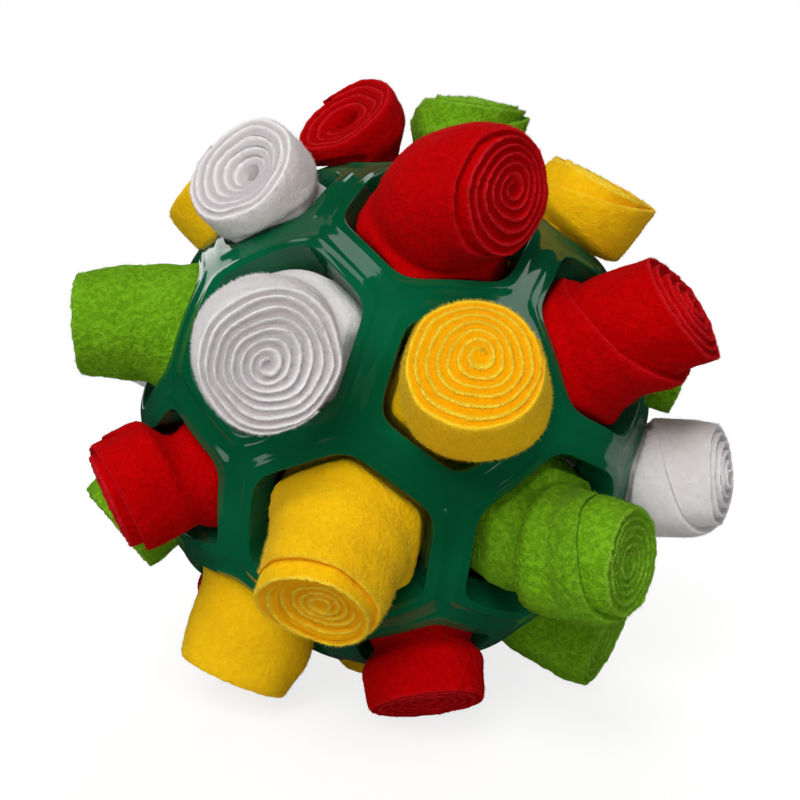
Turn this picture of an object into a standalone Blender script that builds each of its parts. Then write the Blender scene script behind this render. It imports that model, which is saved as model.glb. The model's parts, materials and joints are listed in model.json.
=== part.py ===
"""Snuffle ball: a hollow rubber honeycomb ball whose holes each hold a rolled strip of fleece.

The ball is a truncated icosahedron drawn on a sphere, with rubber along its edges and a hole in each
face. A strip of fleece is wound into a roll and pushed into every hole, and two share the top one.
The toy stands on its lowest rolls. The origin is on the surface that it stands on, below the ball's
centre. Lengths are in metres, with +Z up and the front towards -Y.
"""

import math
from dataclasses import dataclass

import bmesh
import bpy
from mathutils import Quaternion, Vector

MM = 0.001

# Rubber ball
BALL_RADIUS = 55 * MM
BALL_WALL = 7.5 * MM
STRUT_WIDTH = 7.6 * MM
STRUT_EDGE = 1.3 * MM
CORNER_SHARE = 0.65
FACET_SHARE = 0.99
CORNER_CUT_PERCENT = 100 / 3
STANDING_RISE = 3 * MM
CENTRE_HEIGHT = BALL_RADIUS + STANDING_RISE

# Fleece rolls
ROLL_RADIUS = 12.6 * MM
FLEECE = 2 * MM
ROLL_DEPTH = 19 * MM
ROLL_CLEARANCE = 0.35 * MM
PRESSED_CLEARANCE = 1 * MM
LOOSE_SLIDE = 0.3 * MM
BEND_DEPTH = 5 * MM
SWELL_DEPTH = 2 * MM
BEND_ROOM = 1.5 * MM
SHORTEST_BEND = 4.5 * MM
SHOULDER_RISE = 2.5 * MM
GROOVE_DEPTH = 1.6 * MM
END_DISH = 1.5 * MM
STANDING_CUT = 0.5 * MM
END_RADIUS_SHARE = 0.97
PAIR_CORNER_SHARE = 0.91
LEAN_PER_STATION = 15
PRESSING_STEPS = 12
TURNS = 3.5
STEPS_PER_TURN = 12
SHARP_ANGLE = math.radians(50)

# Cutter
OVERRUN = 10 * MM

UP = Vector((0, 0, 1))
RIGHT = Vector((1, 0, 0))
STRAIGHT_UP = 0
STRAIGHT_DOWN = 180
COLOURS = {
    "white": (0.83, 0.80, 0.80),
    "yellow": (0.93, 0.58, 0.01),
    "red": (0.50, 0.004, 0.010),
    "green": (0.16, 0.36, 0.02),
}
RUBBER = (0.004, 0.092, 0.036)
RUBBER_ROUGHNESS = 0.22
FLEECE_ROUGHNESS = 0.95


@dataclass(frozen=True)
class Roll:
    """A roll of fleece: its colour, the hole that it is in, and how it leans out of that hole.

    Polar is the hole's angle from straight up and azimuth its angle round from the front, towards +X.
    The roll leans by an angle towards a direction, which is counted round from upwards to the right
    as seen from outside. Reach is how far its end is from the ball's centre along its path, as a
    share of the ball's radius, or 0 where the roll stands on the floor. A loose roll rests against
    one side of its hole, and the others fill theirs.
    """

    place: str
    colour: str
    polar: float
    azimuth: float
    reach_share: float
    lean: float = 0
    toward: float = 0
    side: int = 0
    loose: bool = False

    @property
    def name(self):
        return f"{self.place}_{self.colour}_roll"

    @property
    def stands(self):
        return self.reach_share == 0


ROLLS = (
    Roll("crown_left", "red", 0, 0, 1.21, 50, -130, side=-1),
    Roll("crown_right", "green", 0, 0, 1.23, 28, 128, side=1),
    Roll("top_front", "red", 42, 0, 1.32, 60, 160),
    Roll("top_left", "white", 37, -60, 1.20, 30, 144),
    Roll("top_right", "yellow", 37, 60, 1.20, 6, -148),
    Roll("top_rear", "white", 37, 180, 1.27, 12, 40),
    Roll("top_rear_left", "yellow", 42, -120, 1.26, 14, 100),
    Roll("top_rear_right", "red", 42, 120, 1.25, 10, -30),
    Roll("front_left", "white", 71, -38, 1.35, 48, 122, loose=True),
    Roll("front_right", "red", 71, 38, 1.27, 7, 74),
    Roll("left", "green", 71, -82, 1.27, 22, -160),
    Roll("right", "green", 71, 82, 1.25, 43, -150, loose=True),
    Roll("rear_left", "red", 71, -158, 1.30, 15, -60),
    Roll("rear_right", "yellow", 71, 158, 1.28, 18, 100),
    Roll("front", "yellow", 79, 0, 1.27, 12, -76),
    Roll("left_rear", "white", 79, -120, 1.29, 8, 20),
    Roll("right_rear", "white", 79, 120, 1.26, 10, -140),
    Roll("rear", "white", 101, 180, 1.28, 9, 75),
    Roll("low_left", "red", 101, -60, 1.24, 12, -62),
    Roll("low_right", "white", 101, 60, 1.29, 21, -37),
    Roll("low_front_left", "yellow", 109, -22, 1.20, 18, -165),
    Roll("low_front_right", "green", 109, 22, 1.30, 21, -11),
    Roll("low_side_left", "green", 109, -98, 1.21, 28, 132, loose=True),
    Roll("low_side_right", "yellow", 109, 98, 1.27, 12, 30),
    Roll("low_rear_left", "yellow", 109, -142, 1.29, 20, -40),
    Roll("low_rear_right", "red", 109, 142, 1.28, 15, 110),
    Roll("foot_left", "yellow", 138, -60, 1.19, 16, -172),
    Roll("foot_right", "green", 138, 60, 1.25, 35, -27),
    Roll("foot_rear", "green", 138, 180, 0),
    Roll("foot_front", "red", 143, 0, 0),
    Roll("foot_rear_left", "red", 143, -120, 0),
    Roll("foot_rear_right", "white", 143, 120, 0),
    Roll("base", "yellow", 180, 0, 0),
)


def clear_scene():
    for thing in list(bpy.data.objects):
        bpy.data.objects.remove(thing, do_unlink=True)


def new_collection(name):
    collection = bpy.data.collections.new(name)
    bpy.context.scene.collection.children.link(collection)
    return collection


def new_material(name, colour, roughness):
    material = bpy.data.materials.new(name)
    material.use_nodes = True
    shader = material.node_tree.nodes["Principled BSDF"]
    shader.inputs["Base Color"].default_value = (*colour, 1)
    shader.inputs["Roughness"].default_value = roughness
    shader.inputs["Metallic"].default_value = 0
    return material


def new_object(name, mesh, material, collection):
    thing = bpy.data.objects.new(name, mesh)
    thing.data.materials.append(material)
    collection.objects.link(thing)
    return thing


def direction(polar, azimuth):
    """The unit vector at an angle from straight up and an angle round from the front."""
    p, a = math.radians(polar), math.radians(azimuth)
    return Vector((math.sin(p) * math.sin(a), -math.sin(p) * math.cos(a), math.cos(p)))


# Honeycomb
def truncated_icosahedron(radius):
    """A bmesh with 12 pentagons and 20 hexagons, one hexagon on top and one pentagon's corner rearwards."""
    bm = bmesh.new()
    bmesh.ops.create_icosphere(bm, subdivisions=1, radius=radius)
    bm.faces.ensure_lookup_table()
    top = max(bm.faces, key=lambda face: face.normal.z)
    level = top.normal.rotation_difference(UP).to_matrix()
    bmesh.ops.rotate(bm, matrix=level, verts=bm.verts)
    corner = max(top.verts, key=lambda vert: vert.co.y)
    turn = Quaternion(UP, math.atan2(corner.co.x, corner.co.y)).to_matrix()
    bmesh.ops.rotate(bm, matrix=turn, verts=bm.verts)
    bmesh.ops.bevel(
        bm,
        geom=bm.verts[:],
        offset=CORNER_CUT_PERCENT,
        offset_type="PERCENT",
        affect="VERTICES",
        segments=1,
    )
    scale = radius / max(vert.co.length for vert in bm.verts)
    bmesh.ops.scale(bm, vec=(scale, scale, scale), verts=bm.verts)
    return bm


@dataclass(frozen=True)
class Hole:
    """A hole's direction from the ball's centre, the radius that it leaves clear at the inner rim,
    and the half angle of the cone that it leaves clear."""

    axis: Vector
    throat: float
    opening: float


def find_holes():
    """The 32 holes of the honeycomb."""
    bm = truncated_icosahedron(BALL_RADIUS)
    holes = []
    for face in bm.faces:
        middle = face.calc_center_median()
        edge = (face.verts[0].co + face.verts[1].co) / 2
        apothem = (edge - middle).length - STRUT_WIDTH / 2
        angle = math.atan2(apothem, middle.length)
        narrowest = BALL_RADIUS - BALL_WALL + STRUT_EDGE
        throat = narrowest * math.sin(angle) * FACET_SHARE
        holes.append(Hole(middle.normalized(), throat, math.asin(throat / narrowest)))
    bm.free()
    return holes


def rubber_ball(collection):
    """The honeycomb: a band of rubber along each edge, drawn on the sphere and thickened inwards."""
    bm = truncated_icosahedron(BALL_RADIUS)
    faces = bm.faces[:]
    bmesh.ops.inset_individual(bm, faces=faces, thickness=STRUT_WIDTH / 2, use_even_offset=True)
    bmesh.ops.delete(bm, geom=faces, context="FACES_ONLY")
    sharpness = bm.verts.layers.float.new("crease_vert")
    for corner in bm.verts:
        corner[sharpness] = CORNER_SHARE if corner.is_boundary else 0
    mesh = bpy.data.meshes.new("rubber_ball")
    bm.to_mesh(mesh)
    bm.free()
    rubber = new_material("green_rubber", RUBBER, RUBBER_ROUGHNESS)
    ball = new_object("rubber_ball", mesh, rubber, collection)
    ball.location = UP * CENTRE_HEIGHT
    round_holes = ball.modifiers.new("round_holes", "SUBSURF")
    round_holes.levels = round_holes.render_levels = 1
    sphere = ball.modifiers.new("sphere", "CAST")
    sphere.cast_type = "SPHERE"
    sphere.factor = 1
    sphere.size = BALL_RADIUS
    sphere.use_radius_as_size = False
    wall = ball.modifiers.new("wall", "SOLIDIFY")
    wall.thickness = BALL_WALL
    wall.offset = -1
    edges = ball.modifiers.new("edges", "BEVEL")
    edges.width = STRUT_EDGE
    edges.segments = 1
    edges.limit_method = "ANGLE"
    mesh.shade_smooth()
    return ball


# Rolls
def winding_radius(step, last):
    """The radius of the groove outside a step of the winding, as a share of the roll's radius.

    The turns are evenly spaced, but for the last one, which thins to the strip's free end.
    """
    lap = STEPS_PER_TURN
    before = 1 - FLEECE / ROLL_RADIUS
    if step > last - lap:
        return before + (1 - before) * (step - last + lap) / lap
    return before * (step + lap) / last


class RollShape:
    """The path and the sizes that a roll's mesh follows."""

    def __init__(self, roll, holes, turn_way):
        wanted = direction(roll.polar, roll.azimuth)
        self.hole = min(holes, key=lambda hole: hole.axis.angle(wanted))
        self.roll = roll
        self.way = turn_way
        axis = self.hole.axis
        self.upright = roll.polar in (STRAIGHT_UP, STRAIGHT_DOWN)
        east = RIGHT if self.upright else UP.cross(axis).normalized()
        north = axis.cross(east)
        toward = math.radians(roll.toward)
        leaning = north * math.cos(toward) + east * math.sin(toward)
        self.frame = (east, north, axis)
        self.tilt_axis = axis.cross(leaning)
        self.neck = self.hole.throat - ROLL_CLEARANCE
        self.offset = Vector()
        if roll.side:
            play = ROLL_CLEARANCE * (1 + PAIR_CORNER_SHARE / 2)
            self.neck = (self.hole.throat - play) / (1 + PAIR_CORNER_SHARE)
            self.offset = RIGHT * roll.side * (self.neck + ROLL_CLEARANCE / 2)
        elif roll.loose:
            spare = self.neck - ROLL_RADIUS
            self.neck -= spare
            self.offset = leaning * (spare + LOOSE_SLIDE)
        self.lean = math.radians(roll.lean)
        self.bend_start = BALL_RADIUS - BEND_DEPTH
        self.bend = max((self.neck + BEND_ROOM) * self.lean, SHORTEST_BEND)

    def turned(self, share):
        """The turning of a cross-section that has a share of the roll's lean."""
        return Quaternion(self.tilt_axis, self.lean * share)

    def reach(self):
        """How far from the ball's centre the roll's end is, along its path."""
        if not self.roll.stands:
            return self.roll.reach_share * BALL_RADIUS
        drop, spread = -self.hole.axis.z, math.hypot(self.hole.axis.x, self.hole.axis.y)
        lowest = CENTRE_HEIGHT + (0 if self.upright else STANDING_CUT)
        return (lowest - ROLL_RADIUS * END_RADIUS_SHARE * spread) / drop

    def heights(self):
        """How far along the path each cross-section is, from the inner end outwards."""
        steps = max(round(self.roll.lean / LEAN_PER_STATION), 1)
        bends = [self.bend_start + self.bend * (i + 1) / steps for i in range(steps)]
        shoulder = bends[-1] + SHOULDER_RISE
        marks = [BALL_RADIUS - ROLL_DEPTH, self.bend_start, *bends, shoulder]
        end = self.reach()
        return [mark for mark in marks if mark < end - BEND_ROOM] + [end]

    def station(self, height):
        """The centre, the turning and the radius of the cross-section at a height along the path."""
        axis = self.hole.axis
        share = min(max((height - self.bend_start) / self.bend, 0), 1)
        half = self.lean * share / 2
        chord = self.bend * share * (math.sin(half) / half if half else 1)
        beyond = max(height - self.bend_start - self.bend, 0)
        centre = axis * min(height, self.bend_start) + self.offset
        centre += self.turned(share / 2) @ axis * chord + self.turned(1) @ axis * beyond
        swell_start = BALL_RADIUS - SWELL_DEPTH
        swollen = self.bend_start + self.bend + SHOULDER_RISE
        swell = min(max((height - swell_start) / (swollen - swell_start), 0), 1)
        swell *= swell * (3 - 2 * swell)
        radius = self.neck + (ROLL_RADIUS - self.neck) * swell
        return centre, self.turned(share), radius

    def is_clear(self, point):
        """Whether a point keeps clear of the rubber, and of the roll that shares the hole."""
        side, far = self.roll.side, point.length
        inside = BALL_RADIUS - BALL_WALL - PRESSED_CLEARANCE
        outside = BALL_RADIUS + PRESSED_CLEARANCE
        if side and side * point.x < ROLL_CLEARANCE / 2:
            return False
        if far < inside or far > outside:
            return True
        return self.hole.axis.angle(point) < self.hole.opening - PRESSED_CLEARANCE / far

    def pressed(self, middle, point):
        """A point, or where the line to it from the middle of its cross-section meets the rubber."""
        if self.is_clear(point):
            return point
        clear, short = middle, point
        for _ in range(PRESSING_STEPS):
            half = (clear + short) / 2
            clear, short = (half, short) if self.is_clear(half) else (clear, half)
        return clear

    def point(self, station, step, radius_share, height):
        """A point at a step of the winding on a station's cross-section, raised along the path."""
        centre, turning, radius = station
        east, north, axis = self.frame
        angle = self.way * math.tau * step / STEPS_PER_TURN
        flat = east * math.cos(angle) + north * math.sin(angle)
        middle = centre + turning @ axis * height
        return self.pressed(middle, middle + turning @ flat * (radius * radius_share))


def end_height(radius_share):
    """How far an end's ridges lie below its rim: the middle is sunk a little."""
    return -END_DISH * (1 - radius_share * radius_share)


def roll_mesh(shape):
    """A roll: rings up its side, then a ridge and a groove that wind in to the middle of its end."""
    last = round(TURNS * STEPS_PER_TURN)
    lap = STEPS_PER_TURN
    flat_end = shape.roll.polar == STRAIGHT_DOWN
    groove = 0 if flat_end else GROOVE_DEPTH
    sink = 0 if flat_end else 1
    stations = [shape.station(height) for height in shape.heights()]
    centre, turning, radius = stations[-1]
    end = (centre, turning, radius * END_RADIUS_SHARE)
    bm = bmesh.new()

    def ring_point(station, step, height=0):
        return bm.verts.new(shape.point(station, step, winding_radius(step, last), height))

    def groove_point(step):
        share = winding_radius(step, last)
        return bm.verts.new(shape.point(end, step, share, sink * end_height(share) - groove))

    outer = range(last - lap, last + 1)
    rings = [[ring_point(station, step) for step in outer] for station in stations[:-1]]
    grooves = {step: groove_point(step) for step in range(-lap, last + 1)}
    rings.append([grooves[step] for step in outer])
    for low, high in zip(rings, rings[1:]):
        for i, start in enumerate(low):
            follow = (i + 1) % len(low)
            bm.faces.new((start, low[follow], high[follow], high[i]))
    bm.faces.new(reversed(rings[0]))
    ridges = []
    for step in range(last + 1):
        share = (winding_radius(step, last) + winding_radius(step - lap, last)) / 2
        height = sink * end_height(share)
        ridges.append(bm.verts.new(shape.point(end, step, share, height)))
    for step in range(last):
        inside, outside = grooves[step - lap], grooves[step]
        inside_next, outside_next = grooves[step + 1 - lap], grooves[step + 1]
        bm.faces.new((inside, ridges[step], ridges[step + 1], inside_next))
        bm.faces.new((ridges[step], outside, outside_next, ridges[step + 1]))
    bm.faces.new((grooves[last], grooves[last - lap], ridges[last]))
    bm.faces.new([grooves[step] for step in range(-lap, 1)] + [ridges[0]])
    bmesh.ops.recalc_face_normals(bm, faces=bm.faces)
    mesh = bpy.data.meshes.new(shape.roll.name)
    bm.to_mesh(mesh)
    bm.free()
    mesh.shade_smooth()
    mesh.set_sharp_from_angle(angle=SHARP_ANGLE)
    return mesh


def floor_cutter(collection):
    """A block whose top is the surface that the toy stands on."""
    side = 2 * (BALL_RADIUS + CENTRE_HEIGHT)
    bpy.ops.mesh.primitive_cube_add(size=1)
    block = bpy.context.object
    block.name = "standing_surface"
    block.scale = (side, side, OVERRUN)
    block.location = UP * -OVERRUN / 2
    block.hide_render = True
    block.display_type = "WIRE"
    for home in list(block.users_collection):
        home.objects.unlink(block)
    collection.objects.link(block)
    return block


def fleece_rolls(collection, holes, floor):
    """Every roll. The ones that stand on their rims are cut level with the floor."""
    fleeces = {
        name: new_material(f"{name}_fleece", rgb, FLEECE_ROUGHNESS)
        for name, rgb in COLOURS.items()
    }
    for index, roll in enumerate(ROLLS):
        shape = RollShape(roll, holes, 1 if index % 2 else -1)
        thing = new_object(roll.name, roll_mesh(shape), fleeces[roll.colour], collection)
        thing.location = UP * CENTRE_HEIGHT
        if roll.stands and not shape.upright:
            cut = thing.modifiers.new("standing", "BOOLEAN")
            cut.operation = "DIFFERENCE"
            cut.object = floor


def main():
    clear_scene()
    toy = new_collection("snuffle_ball")
    cutters = new_collection("cutters")
    rubber_ball(toy)
    fleece_rolls(toy, find_holes(), floor_cutter(cutters))


main()
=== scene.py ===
"""Looks of a snuffle ball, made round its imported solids.

A hollow honeycomb of glossy green rubber stands on its lowest rolls. Every hole holds a strip of
fleece that is wound into a roll. Lengths are in metres, with +Z up and the front towards -Y.
"""

import json
import logging
import math
from dataclasses import dataclass
from enum import Enum
from typing import Mapping, Optional, Sequence, Union

import bpy
import numpy as np
from mathutils import Matrix, Quaternion, Vector, noise


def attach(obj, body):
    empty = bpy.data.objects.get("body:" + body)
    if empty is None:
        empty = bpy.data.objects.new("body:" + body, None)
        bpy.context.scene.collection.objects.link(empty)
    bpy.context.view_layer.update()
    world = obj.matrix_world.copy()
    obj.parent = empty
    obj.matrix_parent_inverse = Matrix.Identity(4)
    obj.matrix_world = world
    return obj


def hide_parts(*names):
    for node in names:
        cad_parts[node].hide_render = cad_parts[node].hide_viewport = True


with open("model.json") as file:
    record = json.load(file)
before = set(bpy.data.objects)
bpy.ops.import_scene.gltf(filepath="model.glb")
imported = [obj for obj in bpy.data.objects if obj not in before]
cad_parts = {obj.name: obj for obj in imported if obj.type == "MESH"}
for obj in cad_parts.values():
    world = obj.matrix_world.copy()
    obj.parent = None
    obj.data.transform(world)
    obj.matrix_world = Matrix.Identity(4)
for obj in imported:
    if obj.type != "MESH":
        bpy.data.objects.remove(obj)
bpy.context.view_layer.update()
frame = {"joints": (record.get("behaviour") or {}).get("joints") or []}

LOG = logging.getLogger("snuffle_ball")

MM = 0.001
UP = Vector((0.0, 0.0, 1.0))
RIGHT = Vector((1.0, 0.0, 0.0))

BALL_RADIUS = 55 * MM
BALL_WALL = 7.5 * MM
STRUT_WIDTH = 7.6 * MM
STRUT_EDGE = 1.3 * MM
NARROWEST = BALL_RADIUS - BALL_WALL + STRUT_EDGE
CENTRE_HEIGHT = 58 * MM
CAMERA_RIGHT = Vector((0.9793, -0.1998, 0.0327))
CAMERA_UP = Vector((-0.0084, 0.1216, 0.9925))
TOWARDS_CAMERA = Vector((-0.2023, -0.9723, 0.1174))

Array = np.ndarray
Thing = bpy.types.Object
Colour = tuple[float, float, float]
Value = Union[float, Sequence[float], "Signal"]


# Shader maths
class Signal:
    """A node's output, which reads like a number in shader maths."""

    def __init__(self, paint: "Paint", socket: bpy.types.NodeSocket) -> None:
        """Wraps one output socket of a paint's nodes."""
        self.paint = paint
        self.socket = socket

    def _maths(self, operation: str, first: Value, second: Value) -> "Signal":
        """The result of a Math node with that operation and two values."""
        return self.paint.node("ShaderNodeMath", {"operation": operation}, {0: first, 1: second})

    def __add__(self, other: Value) -> "Signal":
        """The sum."""
        return self._maths("ADD", self, other)

    def __sub__(self, other: Value) -> "Signal":
        """The difference."""
        return self._maths("SUBTRACT", self, other)

    def __rsub__(self, other: Value) -> "Signal":
        """The difference, with this value taken away."""
        return self._maths("SUBTRACT", other, self)

    def __mul__(self, other: Value) -> "Signal":
        """The product."""
        return self._maths("MULTIPLY", self, other)

    __radd__ = __add__
    __rmul__ = __mul__


class Paint:
    """A material and the nodes that make it."""

    def __init__(self, name: str) -> None:
        """Starts a material of that name with a plain surface shader."""
        self.material = bpy.data.materials.new(name)
        self.material.use_nodes = True
        self.tree = self.material.node_tree
        self.surface = self.tree.nodes["Principled BSDF"]

    def feed(self, socket: bpy.types.NodeSocket, value: Value) -> None:
        """Links a signal to a socket, or sets the socket to a plain value."""
        if isinstance(value, Signal):
            self.tree.links.new(value.socket, socket)
        else:
            socket.default_value = value

    def node(
        self,
        kind: str,
        settings: Optional[Mapping[str, object]] = None,
        inputs: Optional[Mapping[Union[int, str], Value]] = None,
        output: Union[int, str] = 0,
    ) -> Signal:
        """Adds any node.

        Args:
            kind: The node's type.
            settings: Its properties. A ramp's stops are a list of places and grey levels.
            inputs: The values or links of its sockets.
            output: The socket that is returned.

        Returns:
            The output as a signal.
        """
        made = self.tree.nodes.new(kind)
        for key, value in (settings or {}).items():
            if key == "stops":
                for stop, (place, level) in zip(made.color_ramp.elements, value):
                    stop.position = place
                    stop.color = (level, level, level, 1)
            else:
                setattr(made, key, value)
        for key, value in (inputs or {}).items():
            self.feed(made.inputs[key], value)
        return Signal(self, made.outputs[output])

    def place(self) -> Signal:
        """The point that is shaded, in the object's own coordinates."""
        return self.node("ShaderNodeTexCoord", output="Object")

    def cloud(self, wavelength: float, detail: float = 2, distortion: float = 0) -> Signal:
        """Noise over the surface.

        Args:
            wavelength: The size of its lumps in metres.
            detail: How many finer layers it has.
            distortion: How far it is pulled about.

        Returns:
            A value that stays near one half.
        """
        inputs = {
            "Vector": self.place(),
            "Scale": 1 / wavelength,
            "Detail": detail,
            "Distortion": distortion,
        }
        return self.node("ShaderNodeTexNoise", {"noise_dimensions": "3D"}, inputs, "Fac")

    def spread(self, value: Signal, low: float, high: float) -> Signal:
        """Stretches the part of a value between two levels to the range from 0 to 1."""
        inputs = {"Value": value, "From Min": low, "From Max": high}
        return self.node("ShaderNodeMapRange", {"interpolation_type": "SMOOTHSTEP"}, inputs)

    def attribute(self, name: str) -> Signal:
        """The value of that name that the mesh holds at its points."""
        return self.node("ShaderNodeAttribute", {"attribute_name": name}, output="Fac")

    def mix(self, share: Value, low: Value, high: Value) -> Signal:
        """A colour between two, at a share from the first to the second."""
        inputs = {0: share, 6: low, 7: high}
        return self.node("ShaderNodeMix", {"data_type": "RGBA"}, inputs, 2)

    def bump(self, height: Signal, distance: float, strength: float) -> None:
        """Feeds a relief of that height, strength and distance to the surface's normal."""
        inputs = {"Height": height, "Distance": distance, "Strength": strength}
        self.feed(self.surface.inputs["Normal"], self.node("ShaderNodeBump", {}, inputs))

    def dress(self, values: Mapping[str, Value]) -> bpy.types.Material:
        """Sets or links the surface's sockets.

        Args:
            values: What each socket gets, by the socket's name.

        Returns:
            The finished material.
        """
        for name, value in values.items():
            self.feed(self.surface.inputs[name], value)
        return self.material


def opaque(colour: Colour) -> tuple[float, float, float, float]:
    """A colour with an alpha of 1."""
    return (*colour, 1.0)


@dataclass(frozen=True)
class RubberFinish:
    """Moulded rubber with a gloss: deep green, slightly wavy, a little cloudy."""

    name: str = "glossy_green_rubber"
    deep: Colour = (0.0005, 0.075, 0.026)
    light: Colour = (0.001, 0.115, 0.044)
    roughness: float = 0.045
    gloss: float = 0.55
    wave: float = 9 * MM
    wave_height: float = 0.3 * MM
    cloud: float = 22 * MM
    smear: float = 3 * MM
    smear_roughness: float = 0.05

    def material(self) -> bpy.types.Material:
        """Makes the material."""
        paint = Paint(self.name)
        drift = paint.spread(paint.cloud(self.cloud, 1), 0.35, 0.65)
        smear = paint.spread(paint.cloud(self.smear, 3), 0.3, 0.75)
        paint.bump(paint.cloud(self.wave, 1, 0.4), self.wave_height, 0.5)
        return paint.dress(
            {
                "Base Color": paint.mix(drift, opaque(self.deep), opaque(self.light)),
                "Roughness": smear * self.smear_roughness + self.roughness,
                "Specular IOR Level": self.gloss,
                "IOR": 1.45,
            }
        )


@dataclass(frozen=True)
class FleeceFinish:
    """Brushed fleece of one colour.

    The pile is lighter on its tufts than between them, a painted shade in the dips of its relief.
    A cut edge shows paler, partly in its own colour and partly as a painted highlight, and the pile
    that is pressed between two turns gets a painted shade. Mottle is how much of the shade colour
    shows between tufts, fuzz is the length of the loose fibres, and rough is how lumpy the pile is.
    """

    name: str
    pile: Colour
    shade: Colour
    groove_shade: Colour
    fringe_and_highlight: Colour
    mottle: float = 0.5
    tuft: float = 1.1 * MM
    relief: float = 0.5 * MM
    sheen: float = 0.08
    fuzz: float = 0.6 * MM
    rough: float = 0.5
    hair: float = 0.35 * MM
    drift: float = 9 * MM

    def material(self) -> bpy.types.Material:
        """Makes the material."""
        paint = Paint(self.name)
        tufts = paint.spread(paint.cloud(self.tuft, 2, 0.6), 0.36, 0.64)
        fibres = paint.cloud(self.hair, 2, 1.0)
        drift = paint.spread(paint.cloud(self.drift, 2), 0.3, 0.7)
        # Painted shade: the pile darkens towards its shade colour where the tufts dip, as the
        # relief does, plus a broad random drift in tone.
        shade = (1 - tufts) * self.mottle + (1 - drift) * 0.25
        cover = paint.mix(shade, opaque(self.pile), opaque(self.shade))
        # Painted shade: where the pile is pressed between two turns of the end, it takes a darker
        # colour.
        groove_shade = paint.attribute("groove_shade")
        cover = paint.mix(groove_shade * (fibres * 0.6 + 0.55), cover, opaque(self.groove_shade))
        # The cut edge's ridges are paler: partly the fleece's own paler edge, partly a painted
        # highlight on the raised crests.
        fringe_and_highlight = paint.attribute("fringe_and_highlight") * (paint.spread(fibres, 0.4, 0.6) * 0.7 + 0.3)
        cover = paint.mix(fringe_and_highlight, cover, opaque(self.fringe_and_highlight))
        paint.bump(tufts * 0.6 + fibres * 0.8, self.relief, 0.7)
        return paint.dress(
            {
                "Base Color": cover,
                "Roughness": 0.95,
                "Specular IOR Level": 0.03,
                "Sheen Weight": self.sheen,
                "Sheen Roughness": 0.5,
                "Sheen Tint": opaque(self.fringe_and_highlight),
            }
        )


class Fleece(Enum):
    """The colours of fleece, each with its finish."""

    # Each finish gives its pile, the painted shade between tufts, the painted shade between turns,
    # and the pale edge colour, which is partly a painted highlight.
    WHITE = FleeceFinish(
        "white_fleece_pile", (0.80, 0.78, 0.77), (0.66, 0.62, 0.62), (0.46, 0.41, 0.43),
        (0.93, 0.92, 0.92), mottle=0.2, tuft=1.4 * MM, relief=0.16 * MM, sheen=0.15,
        fuzz=0.5 * MM, rough=0.35,
    )
    YELLOW = FleeceFinish(
        "yellow_fleece_pile", (0.93, 0.56, 0.006), (0.82, 0.40, 0.002), (0.88, 0.34, 0.0),
        (1.0, 0.86, 0.09), mottle=0.35, relief=0.22 * MM, sheen=0.22, rough=0.4,
    )
    RED = FleeceFinish(
        "red_fleece_pile", (0.54, 0.0006, 0.0015), (0.40, 0.0002, 0.0006), (0.34, 0.0002, 0.001),
        (0.68, 0.02, 0.03), mottle=0.4, tuft=1.3 * MM, relief=0.25 * MM, sheen=0.12,
        fuzz=0.45 * MM,
    )
    GREEN = FleeceFinish(
        "green_fleece_pile", (0.20, 0.47, 0.014), (0.10, 0.27, 0.005), (0.11, 0.29, 0.006),
        (0.33, 0.60, 0.06), mottle=0.65, tuft=1.0 * MM, sheen=0.2, fuzz=0.55 * MM, rough=1.0,
    )

    @property
    def slot(self) -> str:
        """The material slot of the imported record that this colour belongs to."""
        return f"{self.name.lower()}_fleece"


# Modelling helpers
def use_only(thing: Thing) -> None:
    """Makes an object the only one that is selected, and the active one."""
    bpy.ops.object.select_all(action="DESELECT")
    thing.select_set(True)
    bpy.context.view_layer.objects.active = thing


def apply_modifier(thing: Thing, kind: str, **settings: object) -> None:
    """Adds a modifier with its settings and applies it.

    Args:
        thing: The object that it works on.
        kind: The modifier's type.
        settings: The modifier's properties.
    """
    use_only(thing)
    modifier = thing.modifiers.new(kind.lower(), kind)
    for key, value in settings.items():
        setattr(modifier, key, value)
    bpy.ops.object.modifier_apply(modifier=modifier.name)


def edit(thing: Thing, *steps: tuple[object, dict[str, object]]) -> None:
    """Runs operators on a whole mesh in edit mode.

    Args:
        thing: The object whose mesh is edited.
        steps: Each operator with its arguments, in order.
    """
    use_only(thing)
    bpy.ops.object.mode_set(mode="EDIT")
    bpy.ops.mesh.select_all(action="SELECT")
    for operator, arguments in steps:
        operator(**arguments)
    bpy.ops.object.mode_set(mode="OBJECT")


def smooth_step(value: Array, low: float, high: float) -> Array:
    """A rise from 0 to 1 between two levels, with no kink at either.

    Args:
        value: Where it is taken.
        low: The level where it starts.
        high: The level where it ends.

    Returns:
        The height of the rise.
    """
    share = np.clip((value - low) / (high - low), 0, 1)
    return share * share * (3 - 2 * share)


def lumps(points: Array, wavelength: float, seed: float) -> Array:
    """Smooth noise at points in space.

    Args:
        points: One row per point, in metres.
        wavelength: The size of the lumps.
        seed: Moves to another part of the noise.

    Returns:
        A value for each point, mostly from -0.5 to 0.5.
    """
    moved = points / wavelength + seed
    return np.array([noise.noise(row) for row in moved.tolist()])


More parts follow.
